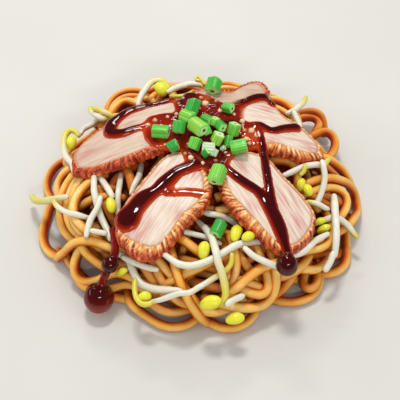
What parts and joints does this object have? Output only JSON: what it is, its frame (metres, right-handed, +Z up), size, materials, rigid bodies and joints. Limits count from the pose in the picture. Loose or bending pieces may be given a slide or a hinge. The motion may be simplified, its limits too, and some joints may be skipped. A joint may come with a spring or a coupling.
{
  "type": "yakisoba",
  "caption": "Heap of thick fried noodles under a fan of crusted roast pork slices, with bean sprouts, cut spring onion and a poured dark sauce, lying with no dish.",
  "frame": {"origin": "on the table, at the middle in plan of the whole heap's box", "axes": "+Z up; the front of the heap, where the long slices point, faces -Y"},
  "size_m": [0.19, 0.177, 0.0655],
  "materials": {
    "noodles": "golden to orange-brown fried noodles with a slight sheen",
    "pork": "cream meat with pink streaks and a bubbly brown crust",
    "sauce": "very glossy, near black where thick and red-brown where thin",
    "sprout": "off-white stems with bright yellow heads, slightly wet",
    "spring_onion": "dark to light green outside with pale cut ends, slightly wet"
  },
  "bodies": {
    "root": {"noodle_heap": "noodles", "pork_slice_left": "pork", "pork_slice_front_left": "pork", "pork_slice_front_right": "pork", "pork_slice_right": "pork", "pork_slice_back": "pork", "sauce_pour": "sauce", "sauce_drip_left": "sauce", "sauce_drip_right": "sauce", "sprout_01": "sprout", "sprout_02": "sprout", "sprout_03": "sprout", "sprout_04": "sprout", "sprout_05": "sprout", "sprout_06": "sprout", "sprout_07": "sprout", "sprout_08": "sprout", "sprout_09": "sprout", "sprout_10": "sprout", "sprout_11": "sprout", "sprout_12": "sprout", "sprout_13": "sprout", "sprout_14": "sprout", "sprout_15": "sprout", "sprout_16": "sprout", "sprout_17": "sprout", "sprout_18": "sprout", "sprout_19": "sprout", "sprout_20": "sprout", "sprout_21": "sprout", "sprout_22": "sprout", "sprout_23": "sprout", "sprout_24": "sprout", "sprout_25": "sprout", "sprout_26": "sprout", "sprout_27": "sprout", "sprout_28": "sprout", "sprout_head_1": "sprout", "sprout_head_2": "sprout", "sprout_head_3": "sprout", "sprout_head_4": "sprout", "sprout_head_5": "sprout", "sprout_head_6": "sprout", "spring_onion_01": "spring_onion", "spring_onion_02": "spring_onion", "spring_onion_03": "spring_onion", "spring_onion_04": "spring_onion", "spring_onion_05": "spring_onion", "spring_onion_06": "spring_onion", "spring_onion_07": "spring_onion", "spring_onion_08": "spring_onion", "spring_onion_09": "spring_onion", "spring_onion_10": "spring_onion", "spring_onion_11": "spring_onion", "spring_onion_12": "spring_onion", "spring_onion_13": "spring_onion", "spring_onion_14": "spring_onion", "spring_onion_15": "spring_onion", "spring_onion_16": "spring_onion", "spring_onion_17": "spring_onion"}
  },
  "joints": []
}
